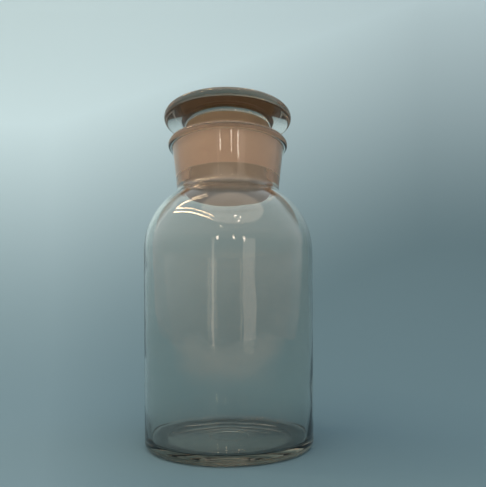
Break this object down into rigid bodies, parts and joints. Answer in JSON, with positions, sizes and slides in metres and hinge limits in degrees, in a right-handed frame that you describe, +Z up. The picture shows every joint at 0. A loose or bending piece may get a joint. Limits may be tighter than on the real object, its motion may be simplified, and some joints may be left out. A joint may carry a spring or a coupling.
{
  "type": "wide-mouth reagent bottle",
  "caption": "Clear glass laboratory bottle with a straight round body, rounded shoulder, wide ground neck and a solid, broad-headed ground glass stopper that lifts out.",
  "frame": {"origin": "centre of the base, in the plane that the bottle stands on", "axes": "+Z up along the axis of bottle and stopper; both are turned, so +X and +Y have no feature of their own"},
  "size_m": [0.107, 0.107, 0.2167],
  "materials": {
    "bottle_glass": "clear, smooth, ground in the neck's bore",
    "stopper_glass": "clear, smooth, ground on the plug's side and end"
  },
  "bodies": {
    "bottle": {"bottle": "bottle_glass"},
    "stopper": {"stopper": "stopper_glass"}
  },
  "joints": [
    {"name": "stopper_lift", "type": "slide", "parent": "bottle", "child": "stopper", "axis": [0, 0, 1], "range_m": [0, 0.05]}
  ]
}
